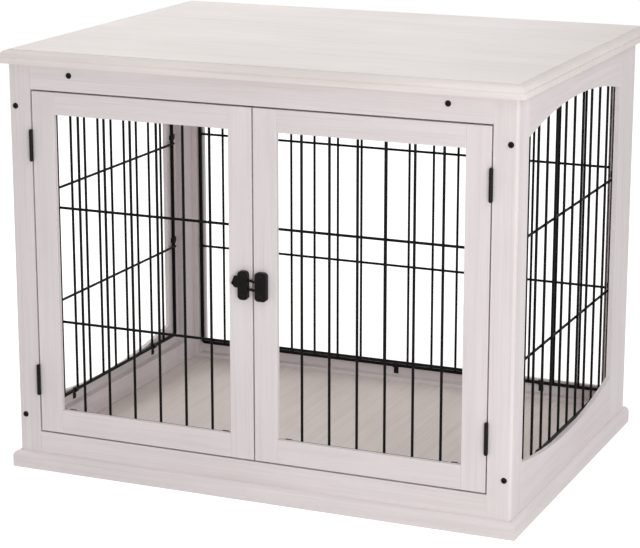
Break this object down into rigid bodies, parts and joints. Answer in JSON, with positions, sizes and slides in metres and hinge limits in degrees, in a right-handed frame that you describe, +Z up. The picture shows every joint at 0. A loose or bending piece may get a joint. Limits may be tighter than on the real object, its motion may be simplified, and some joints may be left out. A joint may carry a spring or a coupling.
{
  "type": "dog crate end table",
  "caption": "White-washed wooden end table that holds a pet crate: wire-filled double doors with a sliding latch, arched wire-filled sides, wire-filled back and a moulded top.",
  "frame": {"origin": "on the floor, under the middle of the table top's outline", "axes": "+X to the right seen from the front, +Y from the doors to the back, +Z up"},
  "size_m": [0.81, 0.626, 0.642],
  "materials": {
    "wire": "black powder coat, satin, on drawn steel wire",
    "bolt_black": "black oxide finish, satin",
    "latch_black": "black painted die casting, semi-gloss",
    "hardware_black": "black electrophoretic coat, satin",
    "top_wood": "white wash over brushed pine, satin lacquer",
    "floor_wood": "thin white wash over pine veneered board, matt",
    "block_wood": "thin white wash over pine, matt",
    "rail_wood": "white wash over brushed pine with the grain along X, satin",
    "side_rail_wood": "white wash over brushed pine with the grain along Y, satin",
    "stile_wood": "white wash over brushed pine with the grain upright, satin"
  },
  "bodies": {
    "crate": {"back_bottom_rail": "rail_wood", "back_clips": "hardware_black", "back_left_stile": "stile_wood", "back_mesh": "wire", "back_right_stile": "stile_wood", "back_top_cleat": "block_wood", "back_top_rail": "rail_wood", "door_stop": "rail_wood", "floor_bearers": "floor_wood", "floor_panel": "floor_wood", "frame_bolts": "bolt_black", "frame_hinge_leaves": "hardware_black", "frame_hinge_screws": "hardware_black", "front_bottom_rail": "rail_wood", "front_left_post": "stile_wood", "front_right_post": "stile_wood", "front_top_cleat": "block_wood", "front_top_rail": "rail_wood", "hinge_pins": "hardware_black", "left_bottom_rail": "side_rail_wood", "left_front_stile": "stile_wood", "left_rear_stile": "stile_wood", "left_side_clips": "hardware_black", "left_side_mesh": "wire", "left_top_rail": "side_rail_wood", "plinth_front": "rail_wood", "plinth_left": "side_rail_wood", "plinth_right": "side_rail_wood", "right_bottom_rail": "side_rail_wood", "right_front_stile": "stile_wood", "right_rear_stile": "stile_wood", "right_side_clips": "hardware_black", "right_side_mesh": "wire", "right_top_rail": "side_rail_wood", "tabletop": "top_wood"},
    "left_door": {"left_door_bottom_rail": "rail_wood", "left_door_clips": "hardware_black", "left_door_hinge_leaves": "hardware_black", "left_door_hinge_screws": "hardware_black", "left_door_hinge_stile": "stile_wood", "left_door_meeting_stile": "stile_wood", "left_door_mesh": "wire", "left_door_top_rail": "rail_wood", "latch_plate": "latch_black", "latch_guide": "latch_black", "latch_plate_screws": "latch_black"},
    "right_door": {"right_door_bottom_rail": "rail_wood", "right_door_clips": "hardware_black", "right_door_hinge_leaves": "hardware_black", "right_door_hinge_screws": "hardware_black", "right_door_hinge_stile": "stile_wood", "right_door_meeting_stile": "stile_wood", "right_door_mesh": "wire", "right_door_top_rail": "rail_wood", "latch_keeper": "latch_black", "latch_keeper_plate": "latch_black", "latch_keeper_screws": "latch_black"},
    "latch_bolt": {"latch_bolt": "latch_black"}
  },
  "joints": [
    {"name": "left_door_hinge", "type": "hinge", "parent": "crate", "child": "left_door", "pos_m": [-0.35675, -0.3052, 0.322], "axis": [0, 0, -1], "range_deg": [0, 170]},
    {"name": "right_door_hinge", "type": "hinge", "parent": "crate", "child": "right_door", "pos_m": [0.35675, -0.3052, 0.322], "axis": [0, 0, 1], "range_deg": [0, 170]},
    {"name": "latch_slide", "type": "slide", "parent": "left_door", "child": "latch_bolt", "axis": [1, 0, 0], "range_m": [0, 0.0075]}
  ]
}
